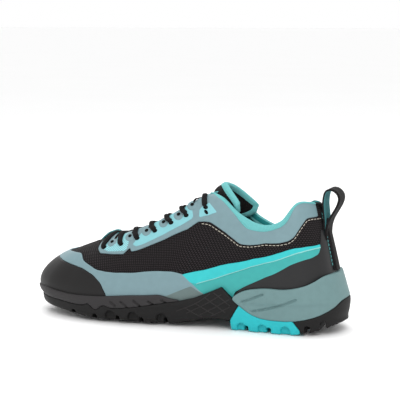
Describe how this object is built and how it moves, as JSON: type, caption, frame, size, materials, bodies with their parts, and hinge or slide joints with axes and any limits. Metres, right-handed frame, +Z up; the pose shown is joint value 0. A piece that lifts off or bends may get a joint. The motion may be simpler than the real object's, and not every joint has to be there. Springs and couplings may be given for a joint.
{
  "type": "approach shoe",
  "caption": "Low-cut approach shoe with a knit upper, bonded film overlays, laced throat, padded collar, pull loop and a lugged cup sole with heel wedge.",
  "frame": {"origin": "on the floor, under the middle of the footprint's box", "axes": "+X to the toe, +Y to the inner side of the right foot, +Z up"},
  "size_m": [0.2824, 0.1008, 0.1191],
  "materials": {
    "mesh": "matt",
    "film": "satin",
    "foam": "matt",
    "black_foam": "matt",
    "rubber": "matt",
    "turquoise_rubber": "satin",
    "board": "matt",
    "satin": "satin",
    "turquoise": "satin",
    "light": "satin",
    "binding": "matt",
    "cord": "matt"
  },
  "bodies": {
    "root": {"midsole": "black_foam", "outsole_forefoot": "rubber", "heel_wedge": "foam", "heel_block": "turquoise_rubber", "outsole_heel": "rubber", "upper": "mesh", "insole": "board", "tongue": "mesh", "toe_cap": "satin", "vamp_band": "film", "heel_counter": "satin", "quarter_wing_inner": "turquoise", "collar_panel_inner": "film", "eyestay_inner": "film", "window_inner": "light", "quarter_wing_outer": "turquoise", "collar_panel_outer": "film", "eyestay_outer": "film", "window_outer": "light", "collar_binding": "binding", "lace_1": "cord", "lace_2": "cord", "lace_3": "cord", "lace_4": "cord", "lace_5": "cord", "lace_6": "cord", "lace_7": "cord", "lace_keeper": "binding", "pull_loop": "cord"}
  },
  "joints": []
}
